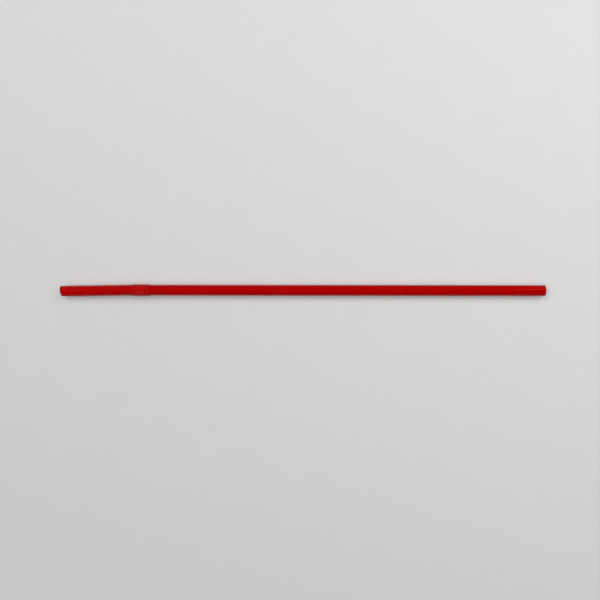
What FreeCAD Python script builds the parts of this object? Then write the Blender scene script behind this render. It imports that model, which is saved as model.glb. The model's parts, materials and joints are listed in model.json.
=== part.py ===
"""A flexible plastic drinking straw, lying on a table with its bellows pushed together.

It is one moulded tube with a thin wall. A short mouth end is followed by the bellows, a row of
pleats folded flat over each other like shingles, and by the long body that stands in the drink.
Each pleat is a long flank that rises towards the body, a crest, a short flank tucked back under
it, and a root on the bore's side. The mouth end leans a little to one side and droops.

X runs along the body, from the mouth end to the lower end. Z is up, and the table is at Z = 0.
The straw rests on three places: its lower rim, its last crest and the rim of its mouth end.
The origin is on the table, under the middle of the straw. All lengths are in millimetres.
"""

import FreeCAD
import Part

import math
import os

# The tube
TUBE_DIAMETER = 6.0  # outside, the same on the mouth end and the body
WALL = 0.15
MOUTH_LENGTH = 40.0  # from the mouth end's rim to where the first pleat rises
BODY_LENGTH = 220.0  # from the last pleat to the lower end's rim

# The bellows, pushed together
PLEATS = 10
PLEAT_SLOPE = 25.0  # degrees between the folded walls and the tube's axis
PLEAT_GAP = 0.06  # air left between two folded walls
CREST_RISE = 0.35  # how far a crest stands out from the tube
SHORT_FLANK = 0.68  # straight length of the flank that is tucked under a crest
TURN_FLATS = 3  # a fold's half turn is made of this many flats, which keeps its mesh light

# The mouth end's lean
SIDE_LEAN = 0.9  # degrees, in the table's plane
NECK = 1.0  # straight length between the lean and the first pleat

# Sizes that follow from those above
TUBE_RADIUS = TUBE_DIAMETER / 2
BORE_RADIUS = TUBE_RADIUS - WALL
CREST_RADIUS = TUBE_RADIUS + CREST_RISE
SLOPE = math.radians(PLEAT_SLOPE)
WALL_STEP = WALL + PLEAT_GAP  # from one folded wall to the next, square to both
TURN_RADIUS = WALL_STEP / 2 + WALL / 2  # outside of a crest or a root
PITCH = 2 * WALL_STEP / math.sin(SLOPE)  # from crest to crest along the axis

# Directions in the half section, where X is along the straw's axis and Y is out from it
ALONG = FreeCAD.Vector(math.cos(SLOPE), math.sin(SLOPE), 0)  # up a flank, towards its crest
ACROSS = FreeCAD.Vector(math.sin(SLOPE), -math.cos(SLOPE), 0)  # from one folded wall to the next

# Directions of the straw
AXIS = FreeCAD.Vector(1, 0, 0)
SIDE = FreeCAD.Vector(0, 1, 0)


def reach(point, radius):
    """The place where the flank's line through a point meets a radius."""
    return point + ALONG * ((radius - point.y) / ALONG.y)


def crest_centre(number):
    """The centre of a crest's half turn. Crest 0 is where its flank leaves the tube at MOUTH_LENGTH."""
    first = FreeCAD.Vector(0, CREST_RADIUS - TURN_RADIUS * math.cos(SLOPE), 0)
    rise = reach(first - ACROSS * TURN_RADIUS, TUBE_RADIUS)
    return first + AXIS * (MOUTH_LENGTH - rise.x + number * PITCH)


def root_centre(number):
    """The centre of the half turn at a pleat's root, from its short flank into the next long one."""
    return crest_centre(number) + ACROSS * WALL_STEP - ALONG * SHORT_FLANK


def half_turn(centre, start_side, outwards):
    """The corners of a fold's half turn, from one side of its centre to the other."""
    corners = []
    for step in range(TURN_FLATS + 1):
        angle = math.pi * step / TURN_FLATS
        direction = start_side * math.cos(angle) + outwards * math.sin(angle)
        corners.append(centre + direction * TURN_RADIUS)
    return corners


def outer_corners():
    """The half section's outer side, from the mouth end's rim to the end of the bellows."""
    corners = [FreeCAD.Vector(0, TUBE_RADIUS, 0), FreeCAD.Vector(MOUTH_LENGTH, TUBE_RADIUS, 0)]
    for number in range(PLEATS):
        root = root_centre(number)
        corners.extend(half_turn(crest_centre(number), -ACROSS, ALONG))
        corners.append(root - ACROSS * (PLEAT_GAP / 2))
        corners.append(root + ACROSS * (PLEAT_GAP / 2))
    corners.append(reach(corners[-1], TUBE_RADIUS))
    return corners


def bore_corners():
    """The half section's bore side, from the end of the bellows back to the mouth end's rim."""
    last_root = root_centre(PLEATS - 1)
    corners = [reach(last_root + ACROSS * TURN_RADIUS, BORE_RADIUS)]
    for number in reversed(range(PLEATS)):
        crest = crest_centre(number)
        corners.extend(half_turn(root_centre(number), ACROSS, -ALONG))
        corners.append(crest + ACROSS * (PLEAT_GAP / 2))
        corners.append(crest - ACROSS * (PLEAT_GAP / 2))
    corners.append(reach(corners[-1], BORE_RADIUS))
    corners.append(FreeCAD.Vector(0, BORE_RADIUS, 0))
    return corners


def lower_end():
    """How far the lower end's rim is from the mouth end's, along the straight straw."""
    return outer_corners()[-1].x + BODY_LENGTH


def straight_straw():
    """The straw with no lean, turned about the X axis from its half section."""
    end = lower_end()
    corners = outer_corners()
    corners.append(FreeCAD.Vector(end, TUBE_RADIUS, 0))
    corners.append(FreeCAD.Vector(end, BORE_RADIUS, 0))
    corners.extend(bore_corners())
    corners.append(corners[0])
    section = Part.Face(Part.makePolygon(corners))
    return section.revolve(FreeCAD.Vector(), AXIS, 360)


def rest_tilt():
    """Degrees between the body's axis and the table, when the last crest and the lower rim touch it."""
    span = lower_end() - half_turn(crest_centre(PLEATS - 1), -ACROSS, ALONG)[0].x
    return math.degrees(math.atan(CREST_RISE / span))


def mouth_direction():
    """The way the mouth end points from the lean, so that its rim comes down to the table."""
    length = MOUTH_LENGTH - NECK
    crest = half_turn(crest_centre(PLEATS - 1), -ACROSS, ALONG)[0].x
    clearance = CREST_RISE + crest * math.tan(math.radians(rest_tilt()))
    sideways = math.tan(math.radians(SIDE_LEAN))
    return FreeCAD.Vector(-1, -sideways, -clearance / length).normalize()


def beyond(place, direction, size):
    """A block that fills everything on one side of a plane, the side that the direction points to."""
    block = Part.makeBox(2 * size, 2 * size, size, FreeCAD.Vector(-size, -size, 0))
    block.Placement = FreeCAD.Placement(
        place, FreeCAD.Rotation(FreeCAD.Vector(0, 0, 1), direction), FreeCAD.Vector()
    ).multiply(block.Placement)
    return block


def leaning_straw():
    """The straw with its mouth end leaning, mitred at the neck so that the wall runs on unbroken."""
    straight = straight_straw()
    size = 2 * lower_end()
    place = AXIS * (MOUTH_LENGTH - NECK)
    pointing = mouth_direction()
    hinge = (-AXIS).cross(pointing)
    turn = math.degrees((-AXIS).getAngle(pointing))
    mitre = FreeCAD.Rotation(hinge, turn / 2)
    mouth = straight.common(beyond(place, mitre.inverted().multVec(-AXIS), size))
    mouth.rotate(place, hinge, turn)
    rest = straight.common(beyond(place, mitre.multVec(AXIS), size))
    return rest.fuse(mouth).Solids[0]


def straw():
    """The finished straw, lying on the table with the origin under its middle."""
    made = leaning_straw()
    made.rotate(FreeCAD.Vector(), SIDE, rest_tilt())
    box = made.optimalBoundingBox(False, False)
    made.translate(-FreeCAD.Vector(box.Center.x, box.Center.y, box.ZMin))
    return made


def main():
    os.makedirs("parts", exist_ok=True)
    straw().exportStep("parts/straw.step")


main()
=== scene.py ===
"""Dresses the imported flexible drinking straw: its thin wall, folded bellows and red plastic.

Lengths are in metres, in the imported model's frame: +X runs along the body towards its lower end,
+Z is up and the table is at Z = 0. The straw is drawn straight along X, with the mouth end's rim
at X = 0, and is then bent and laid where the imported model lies.
"""

import json
import logging
import math
import random
from dataclasses import dataclass, field
from enum import Enum
from typing import Any, Union

import bmesh
import bpy
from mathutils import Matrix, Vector
from mathutils.geometry import intersect_line_line


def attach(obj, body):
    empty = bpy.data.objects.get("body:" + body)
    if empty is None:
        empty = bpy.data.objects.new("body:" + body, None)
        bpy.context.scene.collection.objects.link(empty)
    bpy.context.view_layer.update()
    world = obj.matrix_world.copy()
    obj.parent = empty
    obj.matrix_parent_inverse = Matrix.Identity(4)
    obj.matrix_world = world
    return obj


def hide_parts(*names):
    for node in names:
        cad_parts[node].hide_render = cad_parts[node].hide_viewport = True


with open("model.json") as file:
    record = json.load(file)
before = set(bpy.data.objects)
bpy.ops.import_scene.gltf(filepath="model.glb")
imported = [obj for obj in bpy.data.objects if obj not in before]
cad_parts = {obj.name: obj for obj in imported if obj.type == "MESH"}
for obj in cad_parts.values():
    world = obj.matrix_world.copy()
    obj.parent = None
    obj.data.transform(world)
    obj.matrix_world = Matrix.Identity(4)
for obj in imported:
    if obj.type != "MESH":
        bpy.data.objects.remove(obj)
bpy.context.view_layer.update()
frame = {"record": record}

log = logging.getLogger("straw")

MM = 0.001
HAIR = 0.01 * MM  # less than the distance between any two rings of the straw

Colour = tuple[float, float, float]
Point = tuple[float, float]
Place = tuple[float, float, float]
Turns = tuple[float, float, float]


class End(Enum):
    """The two ends of the bellows, each with the way that its tube runs along X."""

    MOUTH = -1
    LOWER = 1


@dataclass(frozen=True)
class Route:
    """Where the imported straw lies: its rims, the neck where its mouth end leans, and its radii."""

    mouth_rim: Vector
    neck: Vector
    lower_rim: Vector
    tube_radius: float
    bore_radius: float

    @classmethod
    def from_record(cls, record: dict[str, Any]) -> "Route":
        """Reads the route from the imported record's mounts.

        Args:
            record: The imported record, with the mounts body_bore, mouth_bore and body_tube.

        Returns:
            The route, with its neck where the two bores' axes meet.
        """
        mounts = {mount["name"]: mount for mount in record["mounts"]}
        body, mouth = mounts["body_bore"], mounts["mouth_bore"]
        lower_rim, mouth_rim = Vector(body["pos_m"]), Vector(mouth["pos_m"])
        body_way, mouth_way = Vector(body["axis"]), Vector(mouth["axis"])
        on_body, on_mouth = intersect_line_line(
            lower_rim, lower_rim - body_way, mouth_rim, mouth_rim - mouth_way
        )
        return cls(
            mouth_rim=mouth_rim,
            neck=(on_body + on_mouth) / 2,
            lower_rim=lower_rim,
            tube_radius=mounts["body_tube"]["dims"]["r_mm"] * MM,
            bore_radius=body["dims"]["r_mm"] * MM,
        )

    @property
    def wall(self) -> float:
        """The wall's thickness."""
        return self.tube_radius - self.bore_radius

    @property
    def middle_radius(self) -> float:
        """The radius of the middle of the tube's wall."""
        return (self.tube_radius + self.bore_radius) / 2

    @property
    def neck_at(self) -> float:
        """How far the neck is from the mouth end's rim."""
        return (self.neck - self.mouth_rim).length

    @property
    def length(self) -> float:
        """The straw's length along its middle."""
        return self.neck_at + (self.lower_rim - self.neck).length

    @property
    def tilt(self) -> float:
        """The angle by which the body runs down towards its lower rim, in radians."""
        way = self.lower_rim - self.neck
        return math.atan2(-way.z, way.x)

    @property
    def side_lean(self) -> float:
        """The mouth end's lean towards -Y, in radians."""
        way = self.neck - self.mouth_rim
        return math.atan2(way.y, way.x)

    @property
    def droop(self) -> float:
        """The mouth end's lean down towards the table, from the body's own line, in radians."""
        way = self.neck - self.mouth_rim
        return math.atan2(way.z, way.x) + self.tilt


@dataclass(frozen=True)
class Pleat:
    """One fold of the bellows, followed along the middle of its wall."""

    slope: float = math.radians(25)  # between the folded walls and the straw's axis
    gap: float = 0.06 * MM  # air between two folded walls
    crest_rise: float = 0.35 * MM  # how far a crest stands out from the tube
    short_flank: float = 0.68 * MM
    flank_bulge: float = 0.012 * MM
    flank_steps: int = 3
    turn_steps: int = 6

    def pitch(self, route: Route) -> float:
        """The distance from one pleat to the next along the straw."""
        return 2 * (route.wall + self.gap) / math.sin(self.slope)

    def turn(self, route: Route) -> float:
        """The radius of a fold, along the middle of its wall."""
        return (route.wall + self.gap) / 2

    def half_turn(self, centre: Vector, start_side: Vector, outwards: Vector) -> list[Vector]:
        """Follows a round fold.

        Args:
            centre: The middle of the fold.
            start_side: From the middle to where the fold starts.
            outwards: From the middle to the fold's furthest point.

        Returns:
            The fold's points, from its start to the side across from it.
        """
        points = []
        for step in range(self.turn_steps + 1):
            angle = math.pi * step / self.turn_steps
            points.append(centre + start_side * math.cos(angle) + outwards * math.sin(angle))
        return points

    def outline(self, route: Route) -> list[Point]:
        """Follows the wall's middle through one pleat.

        Args:
            route: The straw's route, for its radii.

        Returns:
            Places along the straw and radii, from the tube's radius on one long flank to the
            same radius on the next one, with the first at 0.
        """
        along = Vector((math.cos(self.slope), math.sin(self.slope)))
        across = Vector((math.sin(self.slope), -math.cos(self.slope)))
        turn = self.turn(route)
        start = Vector((0.0, route.middle_radius))
        crest_height = route.tube_radius + self.crest_rise - turn - route.wall / 2
        rise = (crest_height - start.y + turn * math.cos(self.slope)) / math.sin(self.slope)
        crest = start + along * rise + across * turn
        root = crest + across * 2 * turn - along * self.short_flank
        points = [start]
        for count in range(1, self.flank_steps):
            share = count / self.flank_steps
            bulge = self.flank_bulge * math.sin(math.pi * share)
            points.append(start + along * rise * share - across * bulge)
        points.extend(self.half_turn(crest, -across * turn, along * turn))
        points.append((crest + root) / 2)
        points.extend(self.half_turn(root, -across * turn, -along * turn))
        end = Vector((self.pitch(route), route.middle_radius))
        points.append((points[-1] + end) / 2)
        points.append(end)
        return [(point.x, point.y) for point in points]


def deselect_all() -> None:
    """Deselects every object, so that an operator acts only on what is chosen next."""
    for item in bpy.context.selected_objects:
        item.select_set(False)


def activate(piece: bpy.types.Object) -> None:
    """Selects one object alone and makes it the active one.

    Args:
        piece: The object.
    """
    deselect_all()
    piece.select_set(True)
    bpy.context.view_layer.objects.active = piece


def apply_modifier(piece: bpy.types.Object, kind: str, **settings: Any) -> None:
    """Adds a modifier with its settings and applies it at once.

    Args:
        piece: The object to change.
        kind: The modifier's type.
        settings: The modifier's properties and their values.
    """
    modifier = piece.modifiers.new(kind.title(), kind)
    for name, value in settings.items():
        setattr(modifier, name, value)
    activate(piece)
    bpy.ops.object.modifier_apply(modifier=modifier.name)


class RingPen:
    """Draws a tube in edit mode: each stroke extrudes the selected ring along X and sizes it."""

    def __init__(self, at: float, radius: float) -> None:
        """Starts at a selected ring, which is this far along X and has this radius."""
        self.at = at
        self.radius = radius

    def stroke(self, at: float, radius: float) -> None:
        """Adds the next ring.

        Args:
            at: The ring's place along X.
            radius: The ring's radius.
        """
        bpy.ops.mesh.extrude_region_move(TRANSFORM_OT_translate={"value": (at - self.at, 0, 0)})
        growth = radius / self.radius
        if growth != 1:
            bpy.ops.transform.resize(value=(1, growth, growth), center_override=(at, 0, 0))
        self.at = at
        self.radius = radius


Number = Union["Signal", float]


class Signal:
    """A number that varies over a surface. Python's operators on it add Math nodes."""

    def __init__(self, graph: "NodeGraph", socket: bpy.types.NodeSocket) -> None:
        """Wraps an output socket of a graph's node."""
        self.graph = graph
        self.socket = socket

    def __add__(self, other: Number) -> "Signal":
        """Adds."""
        return self.graph.math("ADD", self, other)

    __radd__ = __add__

    def __sub__(self, other: Number) -> "Signal":
        """Subtracts."""
        return self.graph.math("SUBTRACT", self, other)

    def __rsub__(self, other: Number) -> "Signal":
        """Subtracts from a number."""
        return self.graph.math("SUBTRACT", other, self)

    def __mul__(self, other: Number) -> "Signal":
        """Multiplies."""
        return self.graph.math("MULTIPLY", self, other)

    __rmul__ = __mul__

    def __pow__(self, other: Number) -> "Signal":
        """Raises to a power."""
        return self.graph.math("POWER", self, other)

    def within(self, low: float, high: float) -> "Signal":
        """Rises smoothly from 0 at the low value to 1 at the high one.

        Args:
            low: The value up to which it is 0.
            high: The value from which it is 1.

        Returns:
            The rising signal.
        """
        ramp = self.graph.node(
            "ShaderNodeMapRange",
            {"interpolation_type": "SMOOTHSTEP"},
            {"Value": self, "From Min": low, "From Max": high},
        )
        return Signal(self.graph, ramp.outputs["Result"])


class NodeGraph:
    """A node tree, with one way to add any node to it."""

    def __init__(self, tree: bpy.types.NodeTree) -> None:
        """Wraps a node tree."""
        self.tree = tree

    def node(
        self, kind: str, settings: dict[str, Any], inputs: dict[Union[str, int], Any]
    ) -> bpy.types.Node:
        """Adds a node.

        Args:
            kind: The node's type.
            settings: The node's own properties, which are set first.
            inputs: Values, sockets or signals for its input sockets, by name or number.

        Returns:
            The node.
        """
        made = self.tree.nodes.new(kind)
        for name, value in settings.items():
            setattr(made, name, value)
        for key, value in inputs.items():
            self.feed(made.inputs[key], value)
        return made

    def feed(self, socket: bpy.types.NodeSocket, value: Any) -> None:
        """Links a signal or a socket to an input, or sets the input to a plain value.

        Args:
            socket: The input.
            value: The signal, the output socket or the plain value.
        """
        source = value.socket if isinstance(value, Signal) else value
        if isinstance(source, bpy.types.NodeSocket):
            self.tree.links.new(source, socket)
        else:
            socket.default_value = source

    def math(self, operation: str, first: Number, second: Number) -> Signal:
        """Adds a Math node on two numbers."""
        made = self.node("ShaderNodeMath", {"operation": operation}, {0: first, 1: second})
        return Signal(self, made.outputs[0])


@dataclass(frozen=True)
class Grain:
    """A soft pattern: its patches to the metre along each axis, and how many finer layers it has."""

    patches: tuple[float, float, float]
    layers: int


class ShaderGraph(NodeGraph):
    """The nodes of one material around its Principled shader."""

    def __init__(self, name: str) -> None:
        """Makes a material that has a Principled shader alone.

        Args:
            name: The material's name.
        """
        self.material = bpy.data.materials.new(name)
        self.material.use_nodes = True
        super().__init__(self.material.node_tree)
        self.shader = self.tree.nodes["Principled BSDF"]

    def place(self, axis: str) -> Signal:
        """One coordinate of the surface's own place, in metres."""
        place = self.node("ShaderNodeTexCoord", {}, {}).outputs["Object"]
        return Signal(self, self.node("ShaderNodeSeparateXYZ", {}, {"Vector": place}).outputs[axis])

    def noise(self, grain: Grain) -> Signal:
        """Lays a soft pattern over the surface.

        Args:
            grain: The pattern's patches and layers.

        Returns:
            A signal around 0.5.
        """
        place = self.node("ShaderNodeTexCoord", {}, {}).outputs["Object"]
        mapping = self.node("ShaderNodeMapping", {}, {"Vector": place, "Scale": grain.patches})
        made = self.node(
            "ShaderNodeTexNoise",
            {"noise_dimensions": "3D"},
            {"Vector": mapping.outputs[0], "Scale": 1.0, "Detail": grain.layers},
        )
        return Signal(self, made.outputs["Fac"])

    def mix(self, share: Signal, first: Any, second: Colour) -> bpy.types.NodeSocket:
        """Lays one colour over another.

        Args:
            share: How much of the second colour shows, from 0 to 1.
            first: A colour or a colour socket.
            second: A colour.

        Returns:
            The mixed colour's socket.
        """
        first = (*first, 1.0) if isinstance(first, tuple) else first
        inputs = {"Factor": share, 6: first, 7: (*second, 1.0)}
        return self.node("ShaderNodeMix", {"data_type": "RGBA"}, inputs).outputs[2]

    def bump(self, height: Signal, depth: float, strength: float) -> bpy.types.NodeSocket:
        """A normal for small relief of this depth in metres."""
        inputs = {"Height": height, "Distance": depth, "Strength": strength}
        return self.node("ShaderNodeBump", {}, inputs).outputs[0]

    def set(self, **values: Any) -> None:
        """Feeds the Principled shader's inputs, which are named with underscores for spaces."""
        for name, value in values.items():
            self.feed(self.shader.inputs[name.replace("_", " ")], value)


@dataclass(frozen=True)
class StrawMarks:
    """The places on the laid straw that its finish follows."""

    route: Route
    bellows_start: float  # where the first pleat rises, along X
    pitch: float
    pleats: int
    crest_rise: float
    cut_slope: float  # how far the mouth end's cut runs along X, for each metre of Y

    @property
    def bellows_end(self) -> float:
        """Where the last pleat hands over to the body, along X."""
        return self.bellows_start + self.pitch * self.pleats

    @property
    def bellows_middle(self) -> float:
        """The middle of the bellows, along X."""
        return (self.bellows_start + self.bellows_end) / 2


@dataclass(frozen=True)
class RedPolypropylene:
    """The straw's thin red plastic: drawn lines along the tube, crests paler partly from stress
    whitening and partly from painted light, painted light at the mouth end's tip and painted shade
    along the cut rims.
    """

    red: Colour = (0.42, 0.0006, 0.0006)
    deep_red: Colour = (0.37, 0.0004, 0.0004)

    # Lines drawn along the tube as it was made, and faint clouds in the colour
    lines: Grain = Grain((9.0, 2600.0, 2600.0), 3)
    clouds: Grain = Grain((45.0, 120.0, 120.0), 2)
    line_contrast: float = 0.9
    cloud_contrast: float = 0.7
    line_depth: float = 0.02 * MM
    line_strength: float = 0.25

    # The bellows, paler partly where folding has whitened the plastic and partly from painted light:
    # a painted sheen on the crests, and painted light that lifts the shade in the grooves
    whitened_and_lit_red: Colour = (0.90, 0.028, 0.033)
    crest_sheen_and_whitening: float = 0.25  # in the middle of the bellows
    # A painted highlight on the last crest, which stands free
    last_crest_highlight: float = 0.32  # more on the last crest, which stands free
    groove_painted_light_share: float = 0.6  # a groove's pallor next to a crest's
    crest_foot: float = 0.05 * MM  # how far out from the tube a crest starts to be paler
    first_share: float = 0.4  # the first pleat's pallor next to the middle one's
    first_edge: Point = (0.1 * MM, 0.6 * MM)  # where on the first pleat the pallor comes in
    late_fade: float = 0.6  # how much of the pallor is gone at the last pleat
    last_edge: Point = (0.5, 0.2)  # where on the last pleat it comes back, in pitches from its end
    past_edge: float = 0.1  # how soon after the last pleat it is gone, in pitches

    # Painted light at the tip of the mouth end, and painted shade along the cut rims
    painted_tip_light: Colour = (0.48, 0.0008, 0.0008)
    painted_tip_light_length: float = 4 * MM
    # Painted shade along the cut rims
    painted_rim_shade: Colour = (0.16, 0.002, 0.002)
    mouth_rim_shade_depth: float = 1.4 * MM
    lower_rim_shade_depth: float = 0.6 * MM

    # Gloss, and the light inside the wall
    roughness: float = 0.15
    roughness_range: float = 0.12
    refraction: float = 1.49
    gloss: float = 0.2
    gloss_tint: Colour = (1.0, 0.035, 0.03)
    milkiness: float = 0.3  # how much of the light goes through the thin wall
    light_reach: float = 0.4 * MM  # how far red light spreads inside the plastic
    light_spread: Colour = (1.0, 0.15, 0.1)  # red, green and blue light's reach next to that

    def off_axis(self, graph: ShaderGraph, route: Route) -> Signal:
        """Measures how far the surface is from the body's own line.

        Args:
            graph: The material's nodes.
            route: The straw's route.

        Returns:
            The distance in millimetres.
        """
        aside = (graph.place("Y") - route.lower_rim.y) * (1 / MM)
        from_lower = route.lower_rim.x - graph.place("X")
        axis_height = route.lower_rim.z + from_lower * math.tan(route.tilt)
        above = (graph.place("Z") - axis_height) * (1 / MM)
        return (aside * aside + above * above) ** 0.5

    def whitening_and_sheen(self, graph: ShaderGraph, marks: StrawMarks) -> Signal:
        """Finds how pale the bellows are, from stress whitening and painted light: most on the
        crests, with a painted highlight on the last crest, and in the middle of the bellows.

        Args:
            graph: The material's nodes.
            marks: The straw's places.

        Returns:
            A signal of 0 on the plain tubes.
        """
        along = graph.place("X")
        start, middle, end = marks.bellows_start, marks.bellows_middle, marks.bellows_end
        first = along.within(start + self.first_edge[0], start + self.first_edge[1])
        later = along.within(start, middle)
        rise = first * self.first_share + later * (1 - self.first_share)
        bellows = rise * (1 - along.within(middle, end) * self.late_fade)
        # A painted highlight on the last crest
        last_from, last_to = (end - share * marks.pitch for share in self.last_edge)
        last = along.within(last_from, last_to)
        before_body = 1 - along.within(end, end + self.past_edge * marks.pitch)
        tube = marks.route.tube_radius
        crest_from, crest_to = tube + self.crest_foot, tube + marks.crest_rise
        crest = self.off_axis(graph, marks.route).within(crest_from / MM, crest_to / MM)
        height_share = crest * (1 - self.groove_painted_light_share) + self.groove_painted_light_share
        strength = bellows * self.crest_sheen_and_whitening + last * self.last_crest_highlight
        return strength * height_share * before_body

    def dress(self, piece: bpy.types.Object, marks: StrawMarks) -> None:
        """Makes the material and gives it to the piece.

        Args:
            piece: The straw's mesh object.
            marks: The straw's places, for its crests and its rims.
        """
        route = marks.route
        graph = ShaderGraph("red_polypropylene")
        lines = graph.noise(self.lines)
        clouds = graph.noise(self.clouds)
        shade = (lines - 0.5) * self.line_contrast + (clouds - 0.5) * self.cloud_contrast + 0.5
        colour = graph.mix(shade, self.deep_red, self.red)
        # Paler bellows: stress whitening, with a painted sheen on the crests and painted light in
        # the grooves' shade
        colour = graph.mix(self.whitening_and_sheen(graph, marks), colour, self.whitened_and_lit_red)

        aside = graph.place("Y") - route.mouth_rim.y
        from_mouth = graph.place("X") - route.mouth_rim.x + aside * marks.cut_slope
        from_lower = route.lower_rim.x - graph.place("X")
        # Painted light that brightens the mouth end's tip
        tip_light = 1 - from_mouth.within(0, self.painted_tip_light_length)
        colour = graph.mix(tip_light, colour, self.painted_tip_light)
        # Painted shade along the mouth end's cut rim and the lower rim
        mouth_rim = 1 - from_mouth.within(0, self.mouth_rim_shade_depth)
        lower_rim = 1 - from_lower.within(0, self.lower_rim_shade_depth)
        colour = graph.mix(mouth_rim + lower_rim, colour, self.painted_rim_shade)

        graph.set(
            Base_Color=colour,
            Roughness=self.roughness + (lines - 0.5) * self.roughness_range,
            Normal=graph.bump(lines, self.line_depth, self.line_strength),
            Subsurface_Weight=self.milkiness,
            Subsurface_Radius=self.light_spread,
            Subsurface_Scale=self.light_reach,
            IOR=self.refraction,
            Specular_IOR_Level=self.gloss,
            Specular_Tint=(*self.gloss_tint, 1.0),
        )
        piece.data.materials.clear()
        piece.data.materials.append(graph.material)


@dataclass
class FlexibleStraw:
    """The straw itself: one thin tube with a mouth end, folded bellows and a long body."""

    route: Route
    plastic: RedPolypropylene = field(default_factory=RedPolypropylene)
    sides: int = 96  # corners of each ring

    # The bellows
    pleat: Pleat = field(default_factory=Pleat)
    pleats: int = 10
    join_reach: float = 0.001 * MM  # over which one pleat's last ring joins the next one's first
    neck_length: float = 1.0 * MM  # from the lean to where the first pleat rises
    seed: int = 11
    crest_wander: float = 0.018 * MM  # how much the crests' heights differ
    crest_sway: float = math.radians(0.2)
    first_crest_drop: float = 0.06 * MM

    # The plain tubes
    ring_spacing: float = 9 * MM
    foot_gaps: tuple[float, ...] = (0.06 * MM, 0.16 * MM)  # rings close to the bellows
    rim_gaps: tuple[float, ...] = (0.9 * MM, 0.05 * MM, 0.0)  # rings close to the lower rim
    lean_reach: float = 0.7 * MM  # half the length over which the mouth end bends
    lean_steps: int = 5

    # The cut rims
    cut_slant: float = math.radians(7)  # the mouth end's cut, in the table's plane
    cut_ring: float = 0.05 * MM  # from the mouth end's cut to the ring inside it
    rim_flare: float = 0.012 * MM  # the burr that the cutter leaves
    rim_round: float = 0.03 * MM
    rim_steps: int = 2
    rim_angle: float = math.radians(60)  # edges that are sharper get rounded
    smooth_angle: float = math.radians(50)

    @property
    def pitch(self) -> float:
        """The distance from one pleat to the next."""
        return self.pleat.pitch(self.route)

    @property
    def foot_at(self) -> float:
        """Where the first pleat rises from the mouth end, along the straight straw."""
        return self.route.neck_at + self.neck_length

    @property
    def bellows_end(self) -> float:
        """Where the last pleat hands over to the body, along the straight straw."""
        return self.foot_at + self.pleats * self.pitch

    def build(self) -> bpy.types.Object:
        """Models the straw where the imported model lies.

        Returns:
            The finished mesh object, at the origin.
        """
        piece = self.draw_pleat()
        apply_modifier(
            piece,
            "ARRAY",
            count=self.pleats,
            use_relative_offset=False,
            use_constant_offset=True,
            constant_offset_displace=(self.pitch, 0, 0),
            use_merge_vertices=True,
            merge_threshold=self.join_reach,
        )
        bpy.ops.object.mode_set(mode="EDIT")
        self.vary_crests(piece)
        self.draw_tube(piece, End.MOUTH)
        self.draw_tube(piece, End.LOWER)
        self.trim_mouth()
        self.lean_mouth(piece)
        bpy.ops.mesh.select_all(action="SELECT")
        bpy.ops.mesh.normals_make_consistent(inside=False)
        bpy.ops.object.mode_set(mode="OBJECT")
        self.thicken(piece)
        self.lay_down(piece)
        return piece

    def dress(self, piece: bpy.types.Object) -> None:
        """Gives the laid straw its plastic.

        Args:
            piece: The straw's finished mesh object.
        """
        route = self.route
        start = route.lower_rim.x - (route.length - self.foot_at) * math.cos(route.tilt)
        marks = StrawMarks(
            route=route,
            bellows_start=start,
            pitch=self.pitch,
            pleats=self.pleats,
            crest_rise=self.pleat.crest_rise,
            cut_slope=math.tan(self.cut_slant + route.side_lean),
        )
        self.plastic.dress(piece, marks)

    def draw_pleat(self) -> bpy.types.Object:
        """Draws one pleat's wall, with no thickness yet, from a ring at its foot.

        Returns:
            The pleat's object.
        """
        deselect_all()
        bpy.ops.mesh.primitive_circle_add(
            vertices=self.sides,
            radius=self.route.middle_radius,
            location=(self.foot_at, 0, 0),
            rotation=(0, math.pi / 2, 0),
        )
        piece = bpy.context.object
        piece.name = piece.data.name = "flexible_straw"
        bpy.ops.object.transform_apply(location=True, rotation=True, scale=True)
        bpy.ops.object.mode_set(mode="EDIT")
        bpy.ops.mesh.select_all(action="SELECT")
        pen = RingPen(self.foot_at, self.route.middle_radius)
        for at, radius in self.pleat.outline(self.route)[1:]:
            pen.stroke(self.foot_at + at, radius)
        bpy.ops.object.mode_set(mode="OBJECT")
        return piece

    def select_crest(self, piece: bpy.types.Object, number: int) -> float:
        """Selects the whole round fold of one crest in edit mode.

        Args:
            piece: The straw's mesh object.
            number: The crest's number, with 0 next to the mouth end.

        Returns:
            The crest's place along X.
        """
        top, _ = max(self.pleat.outline(self.route), key=lambda point: point[1])
        at = self.foot_at + number * self.pitch + top
        reach = self.pleat.turn(self.route)
        mesh = bmesh.from_edit_mesh(piece.data)
        for vertex in mesh.verts:
            high = math.hypot(vertex.co.y, vertex.co.z) > self.route.tube_radius
            vertex.select = high and abs(vertex.co.x - at) < reach
        mesh.select_flush(True)
        bmesh.update_edit_mesh(piece.data)
        return at

    def vary_crests(self, piece: bpy.types.Object) -> None:
        """Gives each crest its own height and a slight sway, as a pushed-in bellows has.

        The first crest is lower, so it also slides back along its flanks, which keeps them apart.

        Args:
            piece: The bellows' mesh object, in edit mode.
        """
        chance = random.Random(self.seed)
        for number in range(self.pleats):
            at = self.select_crest(piece, number)
            change = self.crest_wander * chance.uniform(-1, 0)
            if number == 0:
                change -= self.first_crest_drop
                back = self.first_crest_drop / math.tan(self.pleat.slope)
                bpy.ops.transform.translate(value=(-back, 0, 0))
            growth = 1 + change / (self.route.tube_radius + self.pleat.crest_rise)
            bpy.ops.transform.resize(value=(1, growth, growth), center_override=(at, 0, 0))
            sway = self.crest_sway * chance.uniform(-1, 1)
            bpy.ops.transform.rotate(value=sway, orient_axis="Z", center_override=(at, 0, 0))

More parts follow.
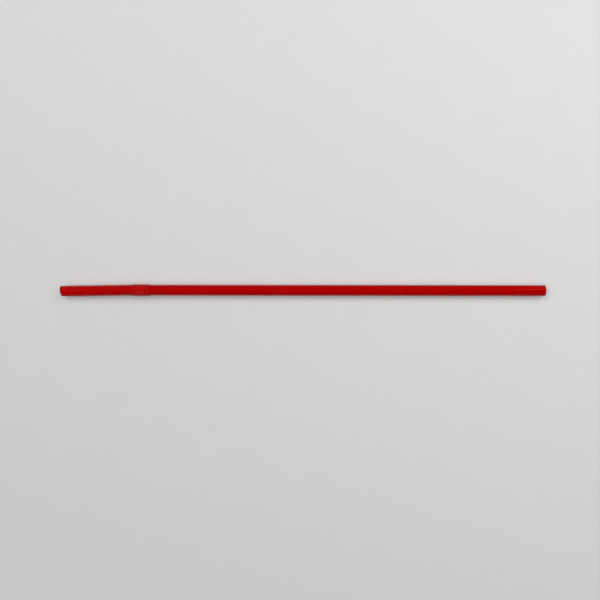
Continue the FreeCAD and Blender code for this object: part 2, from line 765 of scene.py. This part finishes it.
    def tube_stations(self, end: End) -> list[float]:
        """Places the rings of one tube, closer together at its lean and at its rim.

        Args:
            end: Which tube.

        Returns:
            Places along X, from the bellows to the rim. The mouth end's last two are on both
            sides of its slanted cut.
        """
        start = self.foot_at if end is End.MOUTH else self.bellows_end
        near_bellows = [start + end.value * gap for gap in self.foot_gaps]
        if end is End.MOUTH:
            near_bellows.extend(reversed(self.lean_stations()))
            spare = 2 * self.route.tube_radius * math.tan(self.cut_slant)
            near_rim = [spare, -spare]
        else:
            near_rim = [self.route.length - gap for gap in self.rim_gaps]
        count = max(1, round(abs(near_rim[0] - near_bellows[-1]) / self.ring_spacing))
        stride = (near_rim[0] - near_bellows[-1]) / count
        between = [near_bellows[-1] + stride * step for step in range(1, count)]
        return near_bellows + between + near_rim

    def lean_stations(self) -> list[float]:
        """Places the small bends of the lean, evenly around the neck.

        Returns:
            Places along X, with the one nearest to the mouth end's rim first.
        """
        stride = 2 * self.lean_reach / (self.lean_steps - 1)
        first = self.route.neck_at - self.lean_reach
        return [first + stride * step for step in range(self.lean_steps)]

    def draw_tube(self, piece: bpy.types.Object, end: End) -> None:
        """Draws the mouth end or the body, from the open ring of the bellows on that side.

        Args:
            piece: The straw's mesh object, in edit mode.
            end: Which tube.
        """
        start = self.foot_at if end is End.MOUTH else self.bellows_end
        bpy.ops.mesh.select_all(action="DESELECT")
        mesh = bmesh.from_edit_mesh(piece.data)
        for edge in mesh.edges:
            if edge.is_boundary and abs(edge.verts[0].co.x - start) < HAIR:
                edge.select_set(True)
        bmesh.update_edit_mesh(piece.data)
        pen = RingPen(start, self.route.middle_radius)
        for at in self.tube_stations(end):
            flare = self.rim_flare if at == self.route.length else 0.0
            pen.stroke(at, self.route.middle_radius + flare)

    def trim_mouth(self) -> None:
        """Cuts the mouth end off at a slant, with one more ring just inside the cut."""
        normal = (math.cos(self.cut_slant), math.sin(self.cut_slant), 0)
        for depth, cut_off in ((self.cut_ring, False), (0.0, True)):
            bpy.ops.mesh.select_all(action="SELECT")
            bpy.ops.mesh.bisect(plane_co=(depth, 0, 0), plane_no=normal, clear_inner=cut_off)
        growth = 1 + self.rim_flare / self.route.middle_radius
        bpy.ops.transform.resize(value=(1, growth, growth), center_override=(0, 0, 0))

    def lean_mouth(self, piece: bpy.types.Object) -> None:
        """Bends the mouth end at the neck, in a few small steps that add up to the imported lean.

        Args:
            piece: The straw's mesh object, in edit mode.
        """
        side, droop = self.route.side_lean / self.lean_steps, self.route.droop / self.lean_steps
        for station in self.lean_stations():
            mesh = bmesh.from_edit_mesh(piece.data)
            for vertex in mesh.verts:
                vertex.select = vertex.co.x < station - HAIR
            mesh.select_flush(True)
            bmesh.update_edit_mesh(piece.data)
            centre = (station, 0, 0)
            bpy.ops.transform.rotate(value=-side, orient_axis="Z", center_override=centre)
            bpy.ops.transform.rotate(value=droop, orient_axis="Y", center_override=centre)

    def thicken(self, piece: bpy.types.Object) -> None:
        """Gives the wall its thickness and takes the sharpness off the cut rims.

        Args:
            piece: The straw's mesh object, in object mode.
        """
        apply_modifier(
            piece,
            "SOLIDIFY",
            thickness=self.route.wall,
            offset=0,
            use_even_offset=True,
            use_quality_normals=True,
        )
        apply_modifier(
            piece,
            "BEVEL",
            width=self.rim_round,
            segments=self.rim_steps,
            limit_method="ANGLE",
            angle_limit=self.rim_angle,
        )
        bpy.ops.object.shade_smooth_by_angle(angle=self.smooth_angle)

    def lay_down(self, piece: bpy.types.Object) -> None:
        """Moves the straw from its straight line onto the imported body's, inside its mesh.

        Args:
            piece: The straw's mesh object, in object mode.
        """
        piece.rotation_euler = (0, self.route.tilt, 0)
        body_way = (self.route.lower_rim - self.route.neck).normalized()
        piece.location = self.route.lower_rim - body_way * self.route.length
        activate(piece)
        bpy.ops.object.transform_apply(location=True, rotation=True, scale=True)


@dataclass(frozen=True)
class PaleTable:
    """A plain pale table top, with painted light that makes it a little lighter towards its far
    right.
    """

    size: float = 4.0
    light_tone: Colour = (0.76, 0.76, 0.76)
    dark_tone: Colour = (0.64, 0.64, 0.64)
    # Painted light: the top's colour gets lighter along X and along Y
    painted_light_rightwards: float = 1.1  # how fast it gets lighter along X, in shares to the metre
    painted_light_away: float = 2.6  # and along Y
    clouds: Grain = Grain((60.0, 60.0, 60.0), 4)
    cloud_contrast: float = 0.2
    roughness: float = 0.85
    gloss: float = 0.2

    def build(self) -> bpy.types.Object:
        """Lays the table top at Z = 0.

        Returns:
            The table top's object.
        """
        deselect_all()
        bpy.ops.mesh.primitive_plane_add(size=self.size, location=(0, 0, 0))
        table = bpy.context.object
        table.name = table.data.name = "table_top"
        return table

    def dress(self, table: bpy.types.Object) -> None:
        """Paints the table top.

        Args:
            table: The table top's object.
        """
        graph = ShaderGraph("pale_table")
        cloud = (graph.noise(self.clouds) - 0.5) * self.cloud_contrast
        # Painted light, lighter towards the far right
        slope = graph.place("X") * self.painted_light_rightwards + graph.place("Y") * self.painted_light_away
        colour = graph.mix(cloud + slope + 0.5, self.dark_tone, self.light_tone)
        graph.set(Base_Color=colour, Roughness=self.roughness, Specular_IOR_Level=self.gloss)
        table.data.materials.append(graph.material)


@dataclass(frozen=True)
class SoftLight:
    """A flat studio light that faces a place of its own."""

    name: str
    place: Place
    target: Place
    size: tuple[float, float]  # along its own X and Y
    power: float

    def build(self) -> bpy.types.Object:
        """Hangs the light.

        Returns:
            The light's object.
        """
        deselect_all()
        bpy.ops.object.light_add(type="AREA", location=self.place)
        light = bpy.context.object
        light.name = light.data.name = self.name
        light.data.shape = "RECTANGLE"
        light.data.size, light.data.size_y = self.size
        light.data.energy = self.power
        way = Vector(self.target) - Vector(self.place)
        light.rotation_euler = way.to_track_quat("-Z", "Y").to_euler()
        return light


OVERHEAD_SOFTBOX = SoftLight(
    name="overhead_softbox",
    place=(-0.43, 1.35, 4.0),
    target=(-0.43, 1.35, 0.0),
    size=(3.5, 6.4),
    power=98.0,
)
KEY_SOFTBOX = SoftLight(
    name="key_softbox",
    place=(-2.4, 1.35, 4.0),
    target=(-2.4, 1.35, 0.0),
    size=(2.6, 6.4),
    power=150.0,
)
WINDOW_SOFTBOX = SoftLight(
    name="window_softbox",
    place=(0.329, 0.282, 0.486),
    target=(0.125, 0.0, 0.0),
    size=(0.072, 0.12),
    power=0.62,
)


@dataclass(frozen=True)
class Studio:
    """A faint light all round, with a wide softbox overhead, one on the left and a small window."""

    tone: Colour = (1.0, 1.0, 1.0)
    sky: float = 0.15
    backdrop: float = 0.62  # what is seen and reflected from behind the table
    lamps: tuple[SoftLight, ...] = (OVERHEAD_SOFTBOX, KEY_SOFTBOX, WINDOW_SOFTBOX)

    def build(self) -> list[bpy.types.Object]:
        """Sets the world's light and hangs the lamps.

        Returns:
            The lamps' objects.
        """
        world = bpy.data.worlds.new("studio")
        world.use_nodes = True
        graph = NodeGraph(world.node_tree)
        rays = graph.node("ShaderNodeLightPath", {}, {}).outputs
        seen = Signal(graph, rays["Is Camera Ray"]) + Signal(graph, rays["Is Glossy Ray"])
        seen = (seen + Signal(graph, rays["Is Transmission Ray"])).within(0, 1)
        background = graph.tree.nodes["Background"]
        graph.feed(background.inputs["Color"], (*self.tone, 1.0))
        graph.feed(background.inputs["Strength"], self.sky + seen * (self.backdrop - self.sky))
        bpy.context.scene.world = world
        return [lamp.build() for lamp in self.lamps]


@dataclass(frozen=True)
class OverheadCamera:
    """A hand-held camera above the straw, looking nearly straight down."""

    place: Place = (0.01164, 0.01179, 0.36615)
    turn_degrees: Turns = (-2.689, 1.86, 0.1)
    lens: float = 39.0
    sensor: float = 36.0
    nearest: float = 10 * MM  # the nearest thing that it sees

    def build(self) -> bpy.types.Object:
        """Places the camera and makes it the scene's own.

        Returns:
            The camera's object.
        """
        deselect_all()
        bpy.ops.object.camera_add(location=self.place)
        camera = bpy.context.object
        camera.name = camera.data.name = "overhead_camera"
        camera.rotation_mode = "YXZ"
        camera.rotation_euler = [math.radians(turn) for turn in self.turn_degrees]
        camera.data.lens = self.lens
        camera.data.sensor_width = self.sensor
        camera.data.clip_start = self.nearest
        bpy.context.scene.camera = camera
        return camera


def main() -> None:
    """Builds the camera, the table, the lights and the straw, and reports each of them."""
    logging.basicConfig(level=logging.INFO, format="%(name)s: %(message)s")
    bpy.context.scene.view_settings.view_transform = "Standard"

    camera = OverheadCamera().build()
    log.info("%s: a %g mm lens", camera.name, camera.data.lens)

    table_maker = PaleTable()
    table = table_maker.build()
    table_maker.dress(table)
    log.info("%s: %g m wide", table.name, table_maker.size)

    for lamp in Studio().build():
        log.info("%s: %g W", lamp.name, lamp.data.energy)

    straw = FlexibleStraw(Route.from_record(frame["record"]))
    piece = straw.build()
    straw.dress(piece)
    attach(piece, "root")
    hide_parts("straw")
    log.info("%s: %d faces", piece.name, len(piece.data.polygons))


if __name__ == "__main__":
    main()
